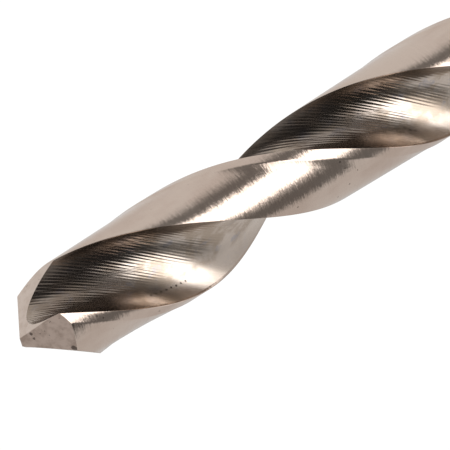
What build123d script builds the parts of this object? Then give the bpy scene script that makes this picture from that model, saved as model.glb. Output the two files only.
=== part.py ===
from build123d import *
from math import atan2, cos, degrees, pi, radians, sin, sqrt, tan
import os

# Twist drill bit: two right-hand flutes, a ground point and a plain shank, in one solid.
# The axis is Z. The bit stands on the flat end of its shank at z = 0, with the point at the top.

os.makedirs("parts", exist_ok=True)

# Overall sizes, in millimetres and degrees
diameter = 8.0            # across the margins, at the point
shank_diameter = 7.96     # the margins taper back to this where the flutes end
overall_length = 117.0
flute_length = 75.0       # point to the end of the run-out
helix_angle = 27.8
shank_chamfer = 0.6

# Cross-section: lengths in millimetres, directions in degrees from the section's own X
root_height = 0.72        # the flute's root lies this far to one side of the axis
root_offset = 1.46        # and this far along, where the lip side meets the floor
lead_phase = 19.3         # direction of the leading edge
heel_phase = 118.3        # direction of the next land's heel
margin_span = 12.4        # arc of the full-diameter margin behind each leading edge
step_radius = 3.92        # land where it meets the margin
heel_radius = 3.7         # land at its heel: its back falls away from the hole's wall

# Point: a facet falls outward along its lip, and away behind it, from a height above the point
point_angle = 118.0
lip_turn = 9.4            # brings the ground lips parallel to X
lip_relief = 16.2
first_heel = (-4.1, 55.1, 0.54)
second_heel = (-13.9, 55.9, 0.39)

# Ends of the cuts
wheel_radius = 24.0       # grinding wheel that leaves the flute run-out
runout_sections = 7
relief_fade = 5.0         # length over which the relief dies out
relief_sections = 4
relief_lap = 8.0          # degrees by which the relief starts inside the flute
overrun = 1.0             # how far each cut passes the metal
exit_gap = 0.05           # space left between a finished cut and the bar

radius = diameter / 2
shank_radius = shank_diameter / 2
flute_base = overall_length - flute_length
lead = pi * diameter / tan(radians(helix_angle))
outside = radius + overrun
crown = 1.6 * radius      # far corner of each flute's void
mouth_phase = (lead_phase + heel_phase) / 2
wheel_lift = radius - root_height + overrun / 2
runout_length = sqrt(2 * wheel_radius * wheel_lift)
runout_top = flute_base + runout_length
sweep_height = overall_length + overrun - runout_top

# Two arcs meet at the root: one rises to the leading edge, the other to the heel
lip_reach = radius * cos(radians(lead_phase)) - root_offset
lip_rise = radius * sin(radians(lead_phase)) - root_height
lip_radius = (lip_reach ** 2 + lip_rise ** 2) / (2 * lip_rise)
lip_sweep = 32.0          # carries the lip side's arc past the leading edge
floor_reach = root_offset - heel_radius * cos(radians(heel_phase))
floor_rise = heel_radius * sin(radians(heel_phase)) - root_height
floor_radius = (floor_reach ** 2 + floor_rise ** 2) / (2 * floor_rise)
floor_sweep = degrees(2 * atan2(floor_rise, floor_reach))


def section_plane(z):
    """Plane across the axis at height z, turned with the helix."""
    return Plane.XY.offset(z).rotated((0, 0, lip_turn + 360 * (z - overall_length) / lead))


def polar(length, direction):
    return (length * cos(radians(direction)), length * sin(radians(direction)))


def flute_section(z, lift):
    """Void of one flute at height z, moved out of the bar by lift."""
    shift_x, shift_y = polar(lift, mouth_phase)
    root_x = root_offset + shift_x
    root_y = root_height + shift_y
    crown_x, crown_y = polar(crown, mouth_phase)
    with BuildSketch(section_plane(z)) as section:
        with BuildLine():
            lip_side = CenterArc((root_x, root_y + lip_radius), lip_radius, -90, lip_sweep)
            floor = CenterArc((root_x, root_y + floor_radius), floor_radius, -90, -floor_sweep)
            heel_side = PolarLine(floor @ 1, overrun, 180 - floor_sweep)
            Polyline(heel_side @ 1, (crown_x + shift_x, crown_y + shift_y), lip_side @ 1)
        make_face()
    return section.sketch


def relief_section(z, fade):
    """Void that clears one land, from inside its heel up to its margin; a fade of 1 is clear of the bar."""
    start = heel_phase - relief_lap
    end = lead_phase + 180 - margin_span
    heel_side = heel_radius + fade * (radius + exit_gap - heel_radius)
    margin_side = step_radius + fade * (radius + exit_gap - step_radius)
    middle = polar((heel_side + margin_side) / 2, (start + end) / 2)
    with BuildSketch(section_plane(z)) as section:
        with BuildLine():
            inner = ThreePointArc(polar(heel_side, start), middle, polar(margin_side, end))
            outer = CenterArc((0, 0), outside, start, end - start)
            Line(inner @ 0, outer @ 0)
            Line(inner @ 1, outer @ 1)
        make_face()
    return section.sketch


def facet(side, fall, relief, height):
    """Plane of one point facet, on the side of one lip or the other."""
    normal = (side * tan(radians(fall)), -side * tan(radians(relief)), 1)
    return Plane(origin=(0, 0, overall_length + height), z_dir=normal)


# One flute: a screw sweep, then a run-out where the wheel leaves the bar
with BuildLine() as screw:
    Helix(lead, sweep_height, radius, center=(0, 0, runout_top))

with BuildPart() as flute:
    sweep(sections=flute_section(runout_top, 0), path=screw.line, is_frenet=True)
    steps = [runout_length * i / (runout_sections - 1) for i in range(runout_sections)]
    loft(sections=[flute_section(runout_top - s, s * s / (2 * wheel_radius)) for s in steps])

# One land relief, fading out at the flute's end
with BuildPart() as relief:
    sweep(sections=relief_section(runout_top, 0), path=screw.line, is_frenet=True)
    fades = [i / (relief_sections - 1) for i in range(relief_sections)]
    loft(sections=[relief_section(runout_top - relief_fade * f, f) for f in fades])

with BuildPart() as twist_drill_bit:
    # Bar: a true cylinder for the shank, then the slight back taper of the fluted body
    standing = (Align.CENTER, Align.CENTER, Align.MIN)
    Cylinder(shank_radius, flute_base, align=standing)
    chamfer(twist_drill_bit.edges().sort_by(Axis.Z)[0], shank_chamfer)
    with Locations((0, 0, flute_base)):
        Cone(shank_radius, radius, flute_length, align=standing)
    for half_turn in (0, 180):
        add(flute.part, rotation=(0, 0, half_turn), mode=Mode.SUBTRACT)
        add(relief.part, rotation=(0, 0, half_turn), mode=Mode.SUBTRACT)
    # A primary facet behind each lip, then the heels, which are ground unevenly
    lip_fall = 90 - point_angle / 2
    for plane in (
        facet(1, lip_fall, lip_relief, 0),
        facet(-1, lip_fall, lip_relief, 0),
        facet(1, *first_heel),
        facet(-1, *second_heel),
    ):
        split(bisect_by=plane, keep=Keep.BOTTOM)

twist_drill_bit.part.label = "twist_drill_bit"
export_step(twist_drill_bit.part, "parts/twist_drill_bit.step")
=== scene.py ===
import bmesh
import bpy
import random
from math import atan2, cos, degrees, pi, radians, sin, sqrt, tan
from mathutils import Matrix, Vector


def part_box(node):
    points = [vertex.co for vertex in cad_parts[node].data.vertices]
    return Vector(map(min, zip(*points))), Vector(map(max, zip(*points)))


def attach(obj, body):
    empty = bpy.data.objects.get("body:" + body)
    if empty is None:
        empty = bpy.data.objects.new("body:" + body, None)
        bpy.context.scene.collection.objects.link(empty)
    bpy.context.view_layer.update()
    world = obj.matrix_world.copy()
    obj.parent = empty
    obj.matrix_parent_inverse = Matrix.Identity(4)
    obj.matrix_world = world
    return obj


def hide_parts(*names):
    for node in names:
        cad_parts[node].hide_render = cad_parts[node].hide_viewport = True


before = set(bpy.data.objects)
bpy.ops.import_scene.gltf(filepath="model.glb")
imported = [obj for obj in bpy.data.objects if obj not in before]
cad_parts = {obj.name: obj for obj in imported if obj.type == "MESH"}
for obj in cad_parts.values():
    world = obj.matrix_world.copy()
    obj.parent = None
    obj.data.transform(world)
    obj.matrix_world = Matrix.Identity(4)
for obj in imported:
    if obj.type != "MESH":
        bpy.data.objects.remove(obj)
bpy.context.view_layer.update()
random.seed(7)

# Sizes of the bit in millimetres and degrees, as the CAD part has them
MM = 0.001
_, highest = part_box("twist_drill_bit")
LENGTH = highest.z / MM
RADIUS = 4.0
SHANK_RADIUS = 3.98
SHANK_CHAMFER = 0.6
FLUTE_LENGTH = 75.0
HELIX_ANGLE = 27.8
LIP_TURN = 9.4
ROOT_HEIGHT = 0.72
ROOT_OFFSET = 1.46
LEAD_PHASE = 19.3
HEEL_PHASE = 118.3
MARGIN_SPAN = 12.4
HEEL_RADIUS = 3.7
FOOT_RADIUS = 3.9         # land at the foot of its margin, before the fillet that rises to it
FILLET_SPAN = 10.0        # arc of that fillet
GROUND_RADIUS = 3.56      # one land is ground lower over its first few millimetres
GROUND_FILLET_SPAN = 30.0
GROUND_LENGTH = 8.0
WHEEL_RADIUS = 24.0
RELIEF_FADE = 5.0
POINT_ANGLE = 118.0
LIP_RELIEF = 16.2
FIRST_HEEL = (-4.1, 55.1, 0.54)
SECOND_HEEL = (-13.9, 55.9, 0.39)

LEAD = 2 * pi * RADIUS / tan(radians(HELIX_ANGLE))
FLUTE_BASE = LENGTH - FLUTE_LENGTH
MOUTH_PHASE = (LEAD_PHASE + HEEL_PHASE) / 2
RUNOUT_TOP = FLUTE_BASE + sqrt(2 * WHEEL_RADIUS * (RADIUS - ROOT_HEIGHT + 0.5))

# Mesh of the fluted part: its rows follow the ridges that the grinding left across the flutes
EDGE = 0.05               # rounding of the long edges
LIP_COLUMNS = 12
FLOOR_COLUMNS = 18
LAND_COLUMNS = 10
MARGIN_COLUMNS = 3
RIDGE_CLIMB = 1.5         # rise of a ridge for each millimetre across the flute
RIDGE_PITCH = 0.43
RIDGE_HEIGHT = 0.009
ROWS_PER_RIDGE = 6
PLAIN_TOP = 72.0          # below this the rows are wider apart
PLAIN_STEP = 0.12
LEVEL_OUT = 22.0          # length over which the rows turn level above the run-out
SHANK_ROWS = 12
RIDGES_BEGIN = (2.3, 3.2) # distance from the leading edge over which the ridges rise
RIDGES_END = (1.3, 0.3)   # and from the heel over which they fade
OVERRUN = 0.3             # mesh above the point, before its facets are cut
POINT_ZONE = 12.0         # length from the point that the facet cuts may reach
SHARP_ANGLE = 35.0        # edges sharper than this shade as edges

SHADE_PATCH_TOP = 111.5          # height of the topmost area of painted shade in the flutes, which darkens them where their reflections should be darker; they repeat every half lead
FACET_LEAN = 0.18         # leans the flutes' shading, so that their reflections fall as in the photo

# Studio
SOFT_LIGHT = 1.0
FLOOR_GLOW = 0.25
FLOOR_WHITE = (0.8, 0.8, 0.8)
FLOOR_REACH = 1.5         # metres from the bit to the floor's edges
DOME_RADIUS = 3.0
STUDIO_FILL = 0.5         # brightness of the studio where nothing stands

# Colours of the steel
STEEL = (0.70, 0.575, 0.49)
STEEL_WARM = (0.63, 0.50, 0.42)
# dark colour of pits and wear marks, also used for the painted shade along one facet edge
PIT_AND_SHADE = (0.10, 0.075, 0.06)
FLUTE_STEEL = (0.67, 0.575, 0.50)
LIP_STEEL = (0.80, 0.685, 0.595)
STRAW = (0.50, 0.405, 0.325)
BLUED = (0.43, 0.41, 0.44)
# oxide brown of the heel and of the flute marks, also the colour of the painted shade in the flutes
OXIDE_AND_SHADE = (0.15, 0.115, 0.095)
FLANK_DULL = (0.70, 0.56, 0.48)
FLANK_DULL_STAIN = (0.54, 0.42, 0.35)
FLANK_PALE = (0.72, 0.60, 0.52)
FLANK_PALE_STAIN = (0.66, 0.54, 0.46)

# Wear marks, and a line of painted shade along one facet edge: height, direction in the section, distance
# from the axis and size
MARK_WOBBLE = 0.12        # how ragged their edges are
LAND_MARKS = (
    (94.68, 129.2, 3.73, 0.09),
    (90.99, 134.2, 3.75, 0.07),
    (90.33, 183.3, 3.93, 0.09),
    (90.09, 175.7, 3.87, 0.07),
    (89.96, 153.2, 3.80, 0.09),
    (89.11, 172.1, 3.86, 0.07),
    (107.84, 1.7, 3.88, 0.08),
    (107.82, 7.0, 3.94, 0.07),
    (107.79, 12.6, 4.00, 0.08),
    (112.60, 14.3, 4.00, 0.09),
    (112.20, 11.8, 4.00, 0.07),
)
FLUTE_MARKS = (
    (83.01, 201.4, 2.02, 0.16),
    (82.76, 199.5, 2.32, 0.18),
    (82.45, 198.7, 2.54, 0.14),
)
DASH_TOP = 107.46         # row of short dark dashes along the lip side of one flute, one to each ridge
DASH_STEP = 0.466
DASH_COUNT = 8
DASH_PLACE = (18.5, 2.61)
FLANK_WEAR_AND_EDGE_SHADE = (
    (116.44, 8.3, 1.09, 0.16),
    (116.37, 347.0, 0.99, 0.13),
    # these two darken the edge between the facet and the land: painted shade of that edge
    (114.78, 332.8, 3.37, 0.26),
    (114.67, 332.7, 3.55, 0.20),
)

# Camera: its direction from the point of the bit, its roll, and where the frame's centre lies
CAMERA_AZIMUTH = 99.4
CAMERA_ELEVATION = 23.878
CAMERA_ROLL = 122.087
CAMERA_DISTANCE = 212.168
CENTRE_RIGHT = 14.280
CENTRE_UP = 8.163
LENS = 242.83
SENSOR = 36.0


# ---------------------------------------------------------------- mesh of the bit

def polar(length, direction):
    return Vector((length * cos(radians(direction)), length * sin(radians(direction))))


def smooth(value, low, high):
    """0 below low, 1 above high and an even S between."""
    t = min(max((value - low) / (high - low), 0.0), 1.0)
    return t * t * (3 - 2 * t)


def corner(before, at, after, size):
    """Four points that round the corner at one point."""
    first = at + (before - at).normalized() * size
    last = at + (after - at).normalized() * size
    return [first * (1 - t) ** 2 + at * 2 * t * (1 - t) + last * t * t for t in (0, 1 / 3, 2 / 3, 1)]


def circle_radius(reach, rise):
    """Radius of the circle that leaves a point level and climbs to another."""
    return (reach ** 2 + rise ** 2) / (2 * rise)


def flute_outline():
    """From the leading edge down one arc to the root, and up another to the heel."""
    lip_end = polar(RADIUS, LEAD_PHASE)
    heel_end = polar(HEEL_RADIUS, HEEL_PHASE)
    root = Vector((ROOT_OFFSET, ROOT_HEIGHT))
    lip_radius = circle_radius(lip_end.x - root.x, lip_end.y - root.y)
    floor_radius = circle_radius(root.x - heel_end.x, heel_end.y - root.y)
    lip_sweep = 2 * atan2(lip_end.y - root.y, lip_end.x - root.x)
    floor_sweep = 2 * atan2(heel_end.y - root.y, root.x - heel_end.x)
    points = []
    for i in range(LIP_COLUMNS + 1):
        a = lip_sweep * (1 - i / LIP_COLUMNS)
        points.append(root + lip_radius * Vector((sin(a), 1 - cos(a))))
    for i in range(1, FLOOR_COLUMNS + 1):
        a = floor_sweep * i / FLOOR_COLUMNS
        points.append(root + floor_radius * Vector((-sin(a), 1 - cos(a))))
    return points


def land_radius(phase, ground):
    """Radius of the land in one direction; ground is 1 where it is ground lower, near the point."""
    behind = LEAD_PHASE + 180 - MARGIN_SPAN - phase
    width = LEAD_PHASE + 180 - MARGIN_SPAN - HEEL_PHASE
    plain = FOOT_RADIUS + (HEEL_RADIUS - FOOT_RADIUS) * behind / width
    plain += (RADIUS - FOOT_RADIUS) * max(1 - behind / FILLET_SPAN, 0) ** 2
    lower = GROUND_RADIUS + (RADIUS - GROUND_RADIUS) * max(1 - behind / GROUND_FILLET_SPAN, 0) ** 2
    return plain * (1 - ground) + lower * ground


def half_outline():
    """One flute and the land after it: points, and which zone each belongs to."""
    flute = flute_outline()
    lead, heel = flute[0], flute[-1]
    behind_lead = lead + polar(1, LEAD_PHASE - 90)
    past_heel = heel + polar(1, HEEL_PHASE + 92)
    column = [(p, "edge") for p in corner(behind_lead, lead, flute[1], EDGE)]
    column += [(p, "flute") for p in flute[1:-1]]
    column += [(p, "edge") for p in corner(flute[-2], heel, past_heel, EDGE)]
    step_phase = LEAD_PHASE + 180 - MARGIN_SPAN
    for i in range(1, LAND_COLUMNS + 1):
        # closer together toward the margin, where the fillet is
        way = 1 - (1 - i / LAND_COLUMNS) ** 1.6
        phase = HEEL_PHASE + 1 + (step_phase - HEEL_PHASE - 1) * way
        column.append((polar(land_radius(phase, 0), phase), "land"))
    for i in range(MARGIN_COLUMNS):
        phase = step_phase + (MARGIN_SPAN - 1) * (i + 0.35) / MARGIN_COLUMNS
        column.append((polar(RADIUS, phase), "margin"))
    return column


class Column:
    """One line of the mesh along the bit: its place in the section, and how its ridges stand."""

    def __init__(self, point, zone, across, climb, ridged, normal):
        self.point, self.zone, self.across = point, zone, across
        self.climb, self.ridged, self.normal = climb, ridged, normal


def make_columns():
    half = half_outline()
    points = [p for p, _ in half]
    lengths = [0.0]
    for a, b in zip(points, points[1:]):
        lengths.append(lengths[-1] + (b - a).length)
    last_flute = max(i for i, (_, zone) in enumerate(half) if zone in ("flute", "edge"))
    flute_width = lengths[last_flute]
    land_width = lengths[-1] - flute_width + 0.3
    columns = []
    for i, (point, zone) in enumerate(half):
        across = lengths[i]
        if i <= last_flute:
            climb = RIDGE_CLIMB * across
            ridged = smooth(across, *RIDGES_BEGIN)
            ridged *= 1 - smooth(across, flute_width - RIDGES_END[0], flute_width - RIDGES_END[1])
        else:
            climb = RIDGE_CLIMB * flute_width * (1 - (across - flute_width) / land_width)
            ridged = 0.0
        before, after = points[max(i - 1, 0)], points[min(i + 1, len(points) - 1)]
        tangent = (after - before).normalized()
        normal = Vector((tangent.y, -tangent.x))
        normal = -normal if normal.dot(polar(1, MOUTH_PHASE)) < 0 else normal
        columns.append(Column(point, zone, across, climb, ridged, normal))
    return columns


def body_radius(z):
    """Radius of the bar: a true cylinder up to the flutes, then a slight cone."""
    return SHANK_RADIUS + (RADIUS - SHANK_RADIUS) * max(z - FLUTE_BASE, 0) / FLUTE_LENGTH


def place(column, half, z, ridge):
    """A point of the mesh, in millimetres."""
    lift = max(RUNOUT_TOP - z, 0) ** 2 / (2 * WHEEL_RADIUS)
    limit = body_radius(z)
    point = column.point + column.normal * ridge * column.ridged
    if column.zone in ("flute", "edge"):
        point = point + polar(lift, MOUTH_PHASE)
    elif column.zone == "land":
        ground = half * smooth(z, LENGTH - GROUND_LENGTH - 5, LENGTH - GROUND_LENGTH + 2)
        phase = degrees(atan2(point.y, point.x)) % 360
        fade = smooth(z, RUNOUT_TOP - RELIEF_FADE, RUNOUT_TOP)
        point = polar(land_radius(phase, ground) * fade + limit * (1 - fade), phase)
    else:
        fade = smooth(z, RUNOUT_TOP - RELIEF_FADE, RUNOUT_TOP)
        point = point * (fade + (1 - fade) * limit / point.length)
    if point.length > limit:
        point = point * (limit / point.length)
    turn = radians(LIP_TURN + 180 * half) + 2 * pi * (z - LENGTH) / LEAD
    c, s = cos(turn), sin(turn)
    return Vector((point.x * c - point.y * s, point.x * s + point.y * c, z))


def row_heights():
    """Heights of the rows at the leading edge, from the flutes' end to above the point."""
    heights = [FLUTE_BASE]
    while heights[-1] < LENGTH + OVERRUN:
        step = PLAIN_STEP if heights[-1] < PLAIN_TOP else RIDGE_PITCH / ROWS_PER_RIDGE
        heights.append(heights[-1] + step)
    return heights


def ridge_heights(heights):
    """How far each row stands out: ridges of uneven height and spacing."""
    out, phase, strength, drift = [], 0.0, 1.0, 0.0
    for low, high in zip([heights[0]] + heights, heights):
        before = phase
        phase += (high - low) / RIDGE_PITCH * (1 + drift)
        if int(phase) != int(before):
            strength = random.uniform(0.35, 1.3)
            drift = random.uniform(-0.2, 0.2)
        out.append(RIDGE_HEIGHT * strength * sin(2 * pi * phase))
    return out


def build_mesh(name):
    bm = bmesh.new()
    course = bm.verts.layers.float_vector.new("course")
    columns = make_columns()
    slots = [(column, half) for half in (0, 1) for column in columns]
    count = len(slots)
    heights = row_heights()
    rows = []
    for height, ridge in zip(heights, ridge_heights(heights)):
        tilt = smooth(height, FLUTE_BASE, FLUTE_BASE + LEVEL_OUT)
        row = []
        for column, half in slots:
            vert = bm.verts.new(place(column, half, height + column.climb * tilt, ridge) * MM)
            vert[course] = (column.across, height, column.ridged)
            row.append(vert)
        rows.append(row)
    # the shank goes straight down from the lowest row
    lowest_row = [v.co.copy() for v in rows[0]]
    shank = []
    for i in range(SHANK_ROWS):
        z = SHANK_CHAMFER + (FLUTE_BASE - SHANK_CHAMFER) * i / SHANK_ROWS
        shank.append([bm.verts.new((co.x, co.y, z * MM)) for co in lowest_row])
    shrink = (SHANK_RADIUS - SHANK_CHAMFER) / SHANK_RADIUS
    end = [bm.verts.new((co.x * shrink, co.y * shrink, 0)) for co in lowest_row]
    rows = [end] + shank + rows
    materials = {"flute": 1, "edge": 0, "land": 0, "margin": 0}
    for low, high in zip(rows, rows[1:]):
        for i in range(count):
            j = (i + 1) % count
            face = bm.faces.new((low[i], low[j], high[j], high[i]))
            face.smooth = True
            zone = slots[i][0].zone
            face.material_index = materials[zone] if low[i].co.z > (FLUTE_BASE + 1) * MM else 0
    bm.faces.new(list(reversed(rows[0])))
    bm.faces.new(rows[-1])
    cut_point(bm)
    mesh = bpy.data.meshes.new(name)
    bm.to_mesh(mesh)
    bm.free()
    return mesh


def cut_point(bm):
    """Grinds the facets of the point, and gives each face the material of its side."""
    fall = 90 - POINT_ANGLE / 2
    cuts = (
        (1, (fall, LIP_RELIEF, 0), 2),
        (-1, (fall, LIP_RELIEF, 0), 3),
        (1, FIRST_HEEL, 2),
        (-1, SECOND_HEEL, 3),
    )
    for side, (outward, relief, height), material in cuts:
        normal = Vector((side * tan(radians(outward)), -side * tan(radians(relief)), 1)).normalized()
        origin = Vector((0, 0, (LENGTH + height) * MM))
        near = [f for f in bm.faces if f.calc_center_median().z > (LENGTH - POINT_ZONE) * MM]
        # in a fixed order, so that every run cuts the same mesh
        geom = list(dict.fromkeys(part for f in near for part in (*f.verts, *f.edges))) + near
        cut = bmesh.ops.bisect_plane(bm, geom=geom, plane_co=origin, plane_no=normal, clear_outer=True)
        edges = [e for e in cut["geom_cut"] if isinstance(e, bmesh.types.BMEdge)]
        for face in bmesh.ops.holes_fill(bm, edges=edges, sides=0)["faces"]:
            face.smooth = False
            face.material_index = material


# ---------------------------------------------------------------- materials

class Tree:
    """A node tree written with short calls, each of which gives back an output."""

    def __init__(self, tree):
        self.tree = tree
        tree.nodes.clear()

    def put(self, socket, value):
        if isinstance(value, bpy.types.NodeSocket):
            self.tree.links.new(value, socket)
        elif isinstance(value, tuple) and len(value) == 3 and socket.type == "RGBA":
            socket.default_value = (*value, 1)
        else:
            socket.default_value = value

    def node(self, kind, **inputs):
        node = self.tree.nodes.new("ShaderNode" + kind)
        for name, value in inputs.items():
            self.put(node.inputs[name.replace("_", " ")], value)
        return node

    def math(self, operation, *values):
        node = self.node("Math")
        node.operation = operation
        for socket, value in zip(node.inputs, values):
            self.put(socket, value)
        return node.outputs[0]

    def vector(self, operation, *values):
        node = self.node("VectorMath")
        node.operation = operation
        for socket, value in zip(node.inputs, values):
            self.put(socket, value)
        return node.outputs["Vector"]

    def scaled(self, vector, amount):
        node = self.node("VectorMath")
        node.operation = "SCALE"
        self.put(node.inputs[0], vector)
        self.put(node.inputs["Scale"], amount)
        return node.outputs["Vector"]

    def mix(self, factor, first, second):
        node = self.node("Mix")
        node.data_type = "RGBA"
        for place, value in ((0, factor), (6, first), (7, second)):
            self.put(node.inputs[place], value)
        return node.outputs[2]

    def window(self, value, low, high, first=0.0, last=1.0):
        """first below low, last above high, and an even S between."""
        node = self.node("MapRange", Value=value, From_Min=low, From_Max=high, To_Min=first, To_Max=last)
        node.interpolation_type = "SMOOTHSTEP"
        return node.outputs["Result"]

    def noise(self, place, stretch, detail=2.0, roughness=0.5):
        """Noise between 0 and 1 with about stretch waves a millimetre along each axis."""
        spread = self.vector("MULTIPLY", place, stretch)
        node = self.node("TexNoise", Vector=spread, Scale=1.0, Detail=detail, Roughness=roughness)
        return node.outputs["Fac"]

    def spots(self, place, stretch, size):
        """1 inside scattered round spots of a given size and 0 outside."""
        node = self.node("TexVoronoi", Vector=self.vector("MULTIPLY", place, stretch), Scale=1.0)
        chosen = self.window(self.node("SeparateXYZ", Vector=node.outputs["Color"]).outputs[0], 0.6, 0.62)
        return self.math("MULTIPLY", self.window(node.outputs["Distance"], size, size * 0.6), chosen)

    def marks(self, place, marks):
        """1 inside each of a few named marks and 0 outside."""
        wobble = self.node("TexNoise", Vector=place, Scale=9.0).outputs["Color"]
        ragged = self.vector("ADD", place, self.scaled(wobble, MARK_WOBBLE))
        inside = 0.0
        for height, direction, distance, size in marks:
            turn = LIP_TURN + 360 * (height - LENGTH) / LEAD
            spot = polar(distance, direction + turn).to_3d()
            spot.z = height
            node = self.node("VectorMath")
            node.operation = "DISTANCE"
            self.put(node.inputs[0], ragged)
            self.put(node.inputs[1], spot + Vector((1, 1, 1)) * MARK_WOBBLE / 2)
            inside = self.math("MAXIMUM", self.window(node.outputs["Value"], size, size * 0.6), inside)
        return inside

    def place(self):
        """Position in the part's own frame, in millimetres."""
        return self.scaled(self.node("TexCoord").outputs["Object"], 1 / MM)

    def course(self):
        """Across the section, along the ridges and how strong the ridges are, from the mesh."""
        node = self.node("Attribute")
        node.attribute_name = "course"
        return node.outputs["Vector"]


def new_material(name):
    material = bpy.data.materials.new(name)
    material.use_nodes = True
    return material, Tree(material.node_tree)


def finish_metal(tree, color, roughness, normal):
    shader = tree.node("BsdfPrincipled", Metallic=1.0, Base_Color=color, Roughness=roughness, Normal=normal)
    out = tree.node("OutputMaterial")
    tree.tree.links.new(shader.outputs[0], out.inputs["Surface"])


def leaning(tree, directions):
    """The surface normal, leaned a little along each of some directions."""
    normal = tree.node("NewGeometry").outputs["Normal"]
    for direction, amount in directions:
        normal = tree.vector("ADD", normal, tree.scaled(direction, amount))
    return tree.vector("NORMALIZE", normal)


def round_and_up(tree, place):
    """Unit directions round the bit and along it."""
    split = tree.node("SeparateXYZ", Vector=place)
    back = tree.math("MULTIPLY", split.outputs[1], -1.0)
    around = tree.node("CombineXYZ", X=back, Y=split.outputs[0]).outputs[0]
    up = tree.node("CombineXYZ", Z=1.0).outputs[0]
    return tree.vector("NORMALIZE", around), up


def lean(tree, noise, strength):
    return tree.math("MULTIPLY", tree.math("SUBTRACT", noise, 0.5), strength)


def land_steel():
    """Cylindrically ground steel: fine scratches round the bit and a slight warm mottle."""
    material, tree = new_material("land_steel")
    place = tree.place()
    around, up = round_and_up(tree, place)
    fine = tree.noise(place, (0.5, 0.5, 14.0), 3.0)
    leaning_fine = tree.noise(tree.vector("ADD", place, tree.scaled(around, 3.0)), (4.0, 4.0, 9.0), 3.0)
    coarse = tree.noise(place, (0.35, 0.35, 5.0), 2.0)
    grain = tree.noise(place, (9.0, 9.0, 14.0), 2.0)
    mottle = tree.noise(place, (0.5, 0.5, 0.25), 3.0)
    color = tree.mix(tree.window(mottle, 0.35, 0.7), STEEL, STEEL_WARM)
    color = tree.mix(tree.math("MULTIPLY", tree.spots(place, (1.6, 1.6, 1.2), 0.06), 0.5), color, PIT_AND_SHADE)
    color = tree.mix(tree.math("MULTIPLY", tree.marks(place, LAND_MARKS), 0.6), color, PIT_AND_SHADE)
    rough = tree.window(coarse, 0.3, 0.7, 0.11, 0.19)
    normal = leaning(tree, (
        (around, lean(tree, fine, 0.19)),
        (around, lean(tree, grain, 0.10)),
        (around, lean(tree, leaning_fine, 0.13)),
        (up, lean(tree, tree.noise(place, (0.6, 0.6, 20.0), 2.0), 0.16)),
    ))
    finish_metal(tree, color, rough, normal)
    return material


def flute_steel():
    """Ground steel with heat colours, paler by the lip and brown along the heel, with areas of painted
    shade that stand in for darker reflections.
    """
    material, tree = new_material("flute_steel")
    place = tree.place()
    course = tree.course()
    around, up = round_and_up(tree, place)
    across = tree.node("SeparateXYZ", Vector=course).outputs[0]
    height = tree.node("SeparateXYZ", Vector=place).outputs[2]
    cloud = tree.noise(place, (0.55, 0.55, 0.45), 4.0, 0.6)
    cloud_2 = tree.noise(place, (0.9, 0.9, 0.7), 3.0, 0.6)
    fine = tree.noise(course, (0.7, 26.0, 0.0), 3.0)
    color = tree.mix(tree.window(cloud, 0.4, 0.6), FLUTE_STEEL, STRAW)
    color = tree.mix(tree.math("MULTIPLY", tree.window(cloud_2, 0.56, 0.7), 0.6), color, BLUED)
    color = tree.mix(tree.math("MULTIPLY", tree.window(across, 2.0, 1.3), 0.7), color, LIP_STEEL)
    # painted shade: dark areas where the flutes should look darker than their reflections alone make them
    below_top = tree.math("SUBTRACT", height, SHADE_PATCH_TOP)
    wave = tree.math("COSINE", tree.math("MULTIPLY", below_top, 4 * pi / LEAD))
    wave = tree.math("ADD", wave, lean(tree, cloud, 0.6))
    painted_shade = tree.math("MULTIPLY", tree.window(wave, 0.35, 0.85), 0.62)
    heel = tree.math("MULTIPLY", tree.window(across, 5.0, 5.8), 0.6)
    # darkens with the painted shade and with the oxide brown along the heel
    color = tree.mix(tree.math("MAXIMUM", painted_shade, heel), color, OXIDE_AND_SHADE)
    dashes = [(DASH_TOP - DASH_STEP * i, *DASH_PLACE, 0.11) for i in range(DASH_COUNT)]
    color = tree.mix(tree.math("MULTIPLY", tree.marks(place, FLUTE_MARKS), 0.5), color, OXIDE_AND_SHADE)
    color = tree.mix(tree.math("MULTIPLY", tree.marks(place, dashes), 0.85), color, PIT_AND_SHADE)
    rough = tree.window(cloud, 0.3, 0.7, 0.18, 0.27)
    normal = leaning(tree, (
        (around, FACET_LEAN),
        (up, lean(tree, fine, 0.22)),
        (around, lean(tree, tree.noise(place, (5.0, 5.0, 5.0), 2.0), 0.06)),
    ))
    finish_metal(tree, color, rough, normal)
    return material


def flank_steel(name, color, stain, rough):
    """Off-hand ground facet: straight scratches, stains and small pits, and a dark line of painted shade
    along one edge.
    """
    material, tree = new_material(name)
    place = tree.place()
    around, up = round_and_up(tree, place)
    streak = tree.noise(place, (9.0, 1.5, 9.0), 3.0)
    cloud = tree.noise(place, (1.4, 1.4, 1.4), 4.0, 0.65)
    base = tree.mix(tree.window(cloud, 0.4, 0.68), color, stain)
    base = tree.mix(tree.math("MULTIPLY", tree.spots(place, (2.4, 2.4, 2.4), 0.13), 0.75), base, PIT_AND_SHADE)
    base = tree.mix(tree.math("MULTIPLY", tree.marks(place, FLANK_WEAR_AND_EDGE_SHADE), 0.8), base, PIT_AND_SHADE)
    roughness = tree.window(cloud, 0.3, 0.7, rough, rough + 0.1)
    normal = leaning(tree, ((around, lean(tree, streak, 0.25)), (up, lean(tree, streak, 0.2))))
    finish_metal(tree, base, roughness, normal)
    return material


# ---------------------------------------------------------------- stage

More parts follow.
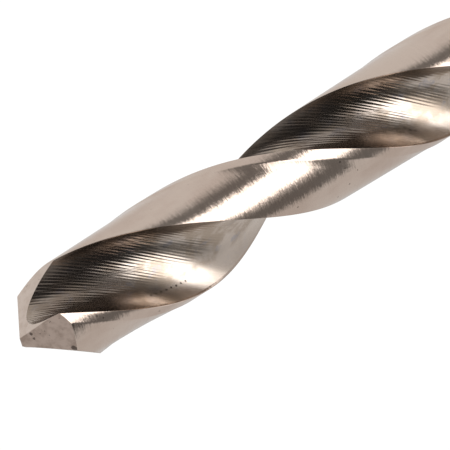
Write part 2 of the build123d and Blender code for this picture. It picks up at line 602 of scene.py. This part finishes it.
# What stands round the bit, in degrees: bearing of its middle from the camera's, half width,
# elevation of its lowest and highest edges and how soft they are; and its brightness
STUDIO = (
    ("right wall", 120, 62, -42, 90, 10, 0.75),
    ("left wall", -118, 52, -42, 0, 10, 0.63),
    ("low cloth", 62, 24, -60, -36, 8, 0.22),
    ("ceiling cloth", -12, 68, -9, 33, 9, 0.03),
    ("left cloth", -52, 16, -38, -8, 8, 0.17),
    ("right cloth", 35, 13, -38, -8, 8, 0.2),
    ("soft box foot", 2, 30, -78, -60, 8, 1.5),
    ("soft box", -3, 22, -62, -10, 7, 2.6),
)


def seen_directly(tree):
    """1 for rays from the camera, off metal or through glass, and otherwise 0."""
    path = tree.node("LightPath").outputs
    either = tree.math("MAXIMUM", path["Is Glossy Ray"], path["Is Transmission Ray"])
    return tree.math("MAXIMUM", path["Is Camera Ray"], either)


def make_world():
    """A plain white surround, seen by the camera and lighting what isn't metal."""
    world = bpy.data.worlds.new("surround")
    bpy.context.scene.world = world
    world.use_nodes = True
    tree = Tree(world.node_tree)
    strength = tree.math("MAXIMUM", seen_directly(tree), SOFT_LIGHT)
    surround = tree.node("Background", Color=(1, 1, 1), Strength=strength)
    out = tree.node("OutputWorld")
    tree.tree.links.new(surround.outputs[0], out.inputs["Surface"])


def make_studio():
    """Dome of lamps and cloths round the bit, which shows in the metal and nowhere else."""
    mesh = bpy.data.meshes.new("studio_dome")
    bm = bmesh.new()
    bmesh.ops.create_uvsphere(bm, u_segments=48, v_segments=24, radius=DOME_RADIUS)
    bm.to_mesh(mesh)
    bm.free()
    dome = bpy.data.objects.new("studio_dome", mesh)
    dome.location = (0, 0, LENGTH * MM)
    bpy.context.scene.collection.objects.link(dome)
    material, tree = new_material("studio_lamps")
    direction = tree.vector("NORMALIZE", tree.node("TexCoord").outputs["Object"])
    turned = tree.node("VectorRotate", Vector=direction, Angle=radians(90 - CAMERA_AZIMUTH))
    turned.rotation_type = "Z_AXIS"
    split = tree.node("SeparateXYZ", Vector=turned.outputs[0]).outputs
    bearing = tree.math("MULTIPLY", tree.math("ARCTAN2", split[1], split[0]), 180 / pi)
    elevation = tree.math("MULTIPLY", tree.math("ARCSINE", split[2]), 180 / pi)
    level = STUDIO_FILL
    for _, middle, half, lowest, highest, soft, bright in STUDIO:
        aside = tree.math("ABSOLUTE", tree.math("SUBTRACT", bearing, float(middle)))
        inside = tree.window(aside, half + soft, half - soft)
        above = tree.window(elevation, lowest - soft, lowest + soft)
        below = tree.window(elevation, highest + soft, highest - soft)
        covers = tree.math("MULTIPLY", inside, tree.math("MULTIPLY", above, below))
        level = tree.math("MULTIPLY_ADD", covers, tree.math("SUBTRACT", bright, level), level)
    lamps = tree.node("Emission", Color=(1, 1, 1), Strength=level)
    out = tree.node("OutputMaterial")
    tree.tree.links.new(lamps.outputs[0], out.inputs["Surface"])
    mesh.materials.append(material)
    for kind in ("camera", "diffuse", "transmission", "volume_scatter", "shadow"):
        setattr(dome, "visible_" + kind, False)


def make_floor():
    mesh = bpy.data.meshes.new("floor")
    corners = [(x * FLOOR_REACH, y * FLOOR_REACH, 0) for x, y in ((-1, -1), (1, -1), (1, 1), (-1, 1))]
    mesh.from_pydata(corners, [], [(0, 1, 2, 3)])
    floor = bpy.data.objects.new("floor", mesh)
    bpy.context.scene.collection.objects.link(floor)
    material, tree = new_material("floor_white")
    matte = tree.node("BsdfDiffuse", Color=FLOOR_WHITE)
    glow = tree.node("Emission", Strength=tree.math("MULTIPLY", seen_directly(tree), FLOOR_GLOW))
    both = tree.node("AddShader")
    tree.tree.links.new(matte.outputs[0], both.inputs[0])
    tree.tree.links.new(glow.outputs[0], both.inputs[1])
    out = tree.node("OutputMaterial")
    tree.tree.links.new(both.outputs[0], out.inputs["Surface"])
    mesh.materials.append(material)
    floor.visible_glossy = False


def make_camera():
    azimuth, elevation, roll = radians(CAMERA_AZIMUTH), radians(CAMERA_ELEVATION), radians(CAMERA_ROLL)
    back = Vector((sin(azimuth) * cos(elevation), -cos(azimuth) * cos(elevation), sin(elevation)))
    level = Vector((cos(azimuth), sin(azimuth), 0))
    upright = back.cross(level)
    up = upright * cos(roll) + level * sin(roll)
    right = up.cross(back)
    tip = Vector((0, 0, LENGTH))
    spot = tip + back * CAMERA_DISTANCE + right * CENTRE_RIGHT + up * CENTRE_UP
    data = bpy.data.cameras.new("camera")
    data.lens = LENS
    data.sensor_width = SENSOR
    data.clip_start = 0.01
    data.clip_end = 20
    camera = bpy.data.objects.new("camera", data)
    turn = Matrix((right, up, back)).transposed().to_4x4()
    camera.matrix_world = Matrix.Translation(spot * MM) @ turn
    bpy.context.scene.collection.objects.link(camera)
    bpy.context.scene.camera = camera


# ---------------------------------------------------------------- the scene

mesh = build_mesh("bit")
bit = bpy.data.objects.new("bit", mesh)
bpy.context.scene.collection.objects.link(bit)
for steel in (
    land_steel(),
    flute_steel(),
    flank_steel("flank_dull", FLANK_DULL, FLANK_DULL_STAIN, 0.42),
    flank_steel("flank_pale", FLANK_PALE, FLANK_PALE_STAIN, 0.34),
):
    mesh.materials.append(steel)
mesh.set_sharp_from_angle(angle=radians(SHARP_ANGLE))
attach(bit, "root")
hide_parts("twist_drill_bit")

make_world()
make_studio()
make_floor()
make_camera()
bpy.context.scene.view_settings.view_transform = "Standard"
